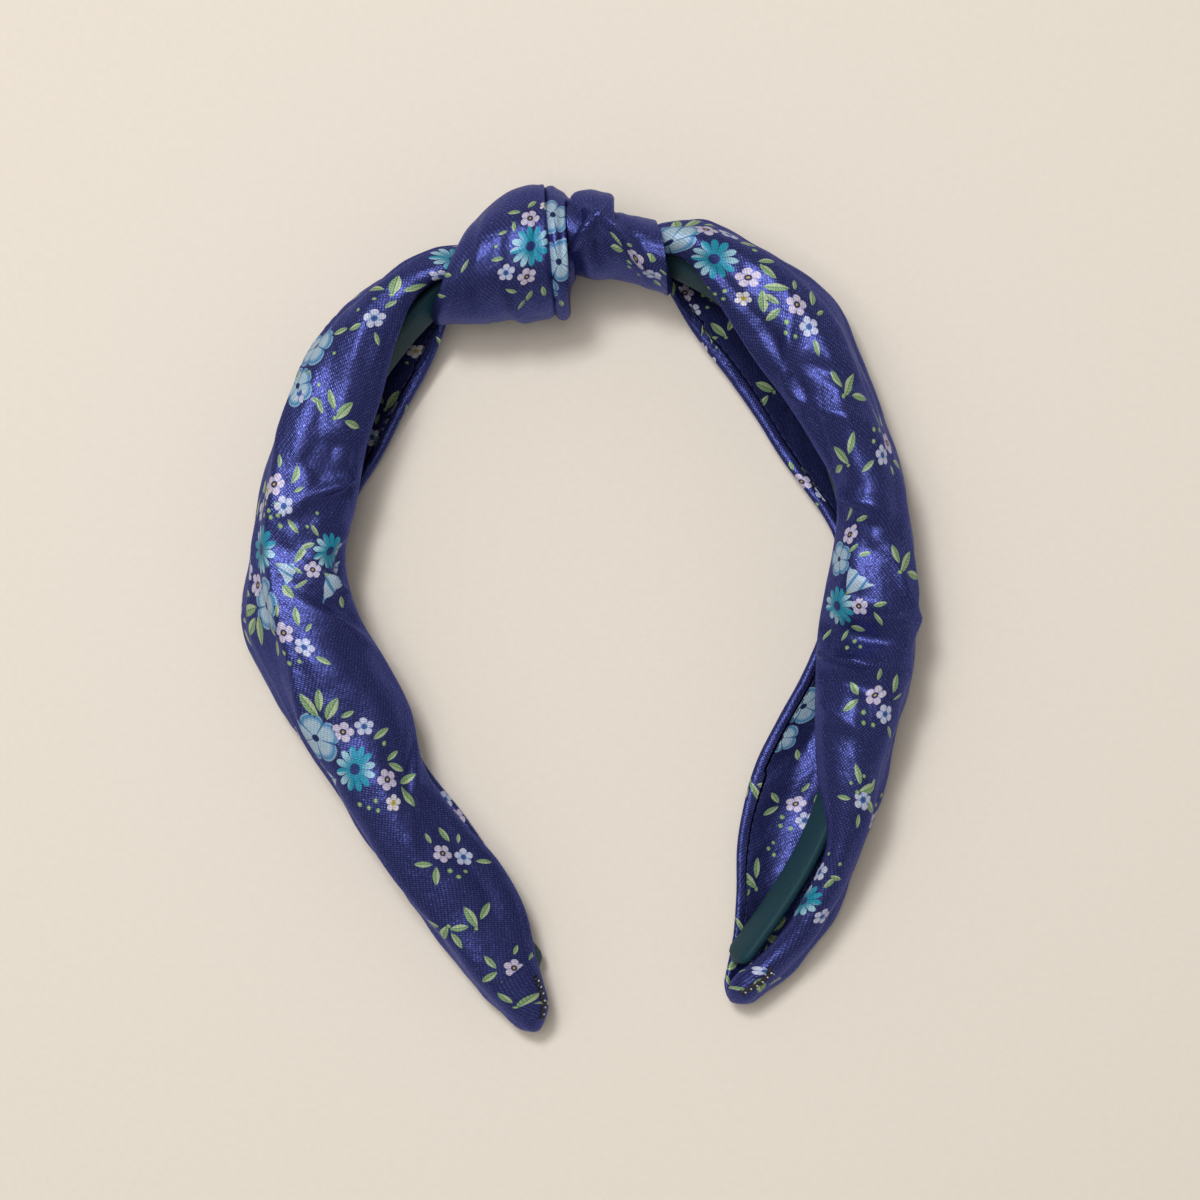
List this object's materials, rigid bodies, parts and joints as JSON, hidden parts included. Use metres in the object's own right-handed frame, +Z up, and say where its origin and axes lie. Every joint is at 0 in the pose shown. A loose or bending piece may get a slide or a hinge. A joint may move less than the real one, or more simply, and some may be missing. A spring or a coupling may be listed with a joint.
{
  "type": "knotted headband",
  "caption": "Stiff open hoop wrapped in ribbon, with a wide printed satin sleeve along each arm, tied in a turban-style knot over the crown and sewn into cups at the tips.",
  "frame": {"origin": "on the table the headband lies on, at the middle of its outline", "axes": "+Z up from the table, across the band's width; +Y from the tips to the knot; +X from the left arm to the right arm"},
  "size_m": [0.1427, 0.1801, 0.0433],
  "materials": {
    "satin": "navy satin with a printed flower pattern",
    "satin_inner": "navy satin, the face next to the head",
    "teal_ribbon": "dark teal ribbed ribbon",
    "hoop_plastic": "plain moulded strip",
    "seam_thread": "sewing thread",
    "overlock_thread": "black overlock thread",
    "glue": "hot-melt glue"
  },
  "bodies": {
    "crown": {"crown_band_core": "hoop_plastic", "crown_ribbon_wrap": "teal_ribbon", "crown_glue_pad": "glue", "knot_left_lobe": "satin", "knot_centre_pleat": "satin", "knot_right_lobe": "satin"},
    "left_arm": {"left_band_core": "hoop_plastic", "left_ribbon_wrap": "teal_ribbon", "left_sleeve_outer_panel": "satin", "left_sleeve_inner_panel": "satin_inner", "left_sleeve_upper_seam": "seam_thread", "left_sleeve_lower_seam": "seam_thread", "left_tip_pocket": "satin", "left_tip_overlock_thread": "overlock_thread", "left_tip_glue_pad": "glue"},
    "right_arm": {"right_band_core": "hoop_plastic", "right_ribbon_wrap": "teal_ribbon", "right_sleeve_outer_panel": "satin", "right_sleeve_inner_panel": "satin_inner", "right_sleeve_upper_seam": "seam_thread", "right_sleeve_lower_seam": "seam_thread", "right_tip_pocket": "satin", "right_tip_overlock_thread": "overlock_thread", "right_tip_glue_pad": "glue"}
  },
  "joints": [
    {"name": "left_arm_spread", "type": "hinge", "parent": "crown", "child": "left_arm", "pos_m": [-0.025, 0.06959, 0.0205], "axis": [0, 0, -1], "range_deg": [-3, 16], "stiffness_Nm_per_rad": 0.9},
    {"name": "right_arm_spread", "type": "hinge", "parent": "crown", "child": "right_arm", "pos_m": [0.017, 0.07405, 0.0205], "axis": [0, 0, 1], "range_deg": [-3, 16], "stiffness_Nm_per_rad": 0.9}
  ]
}
